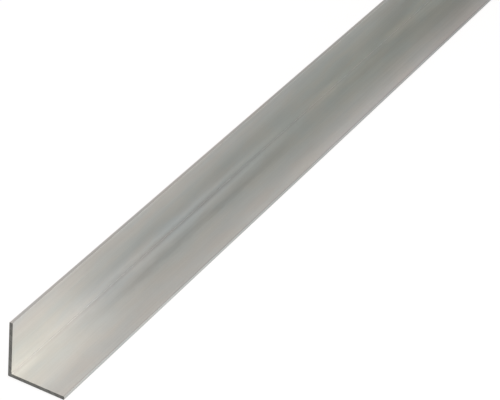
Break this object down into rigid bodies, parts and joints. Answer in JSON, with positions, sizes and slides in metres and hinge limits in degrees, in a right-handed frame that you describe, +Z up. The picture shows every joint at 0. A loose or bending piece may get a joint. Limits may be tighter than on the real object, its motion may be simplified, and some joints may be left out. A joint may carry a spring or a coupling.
{
  "type": "metal angle section",
  "caption": "Equal-leg aluminium angle: a thin-walled, square-cornered L profile cut to length, used to edge, join and frame boards and panels.",
  "frame": {"origin": "under the middle of the stock, on the floor: centre of the bounding box's bottom face", "axes": "+X along the stock, +Z up along the standing leg, -Y towards the toe of the leg that lies flat, so the inside of the L opens to -Y and +Z"},
  "size_m": [1, 0.025, 0.025],
  "materials": {
    "aluminium": "mill finish, satin, with fine die lines along the stock; the sawn ends are darker and rougher"
  },
  "bodies": {
    "root": {"angle_section": "aluminium"}
  },
  "joints": []
}
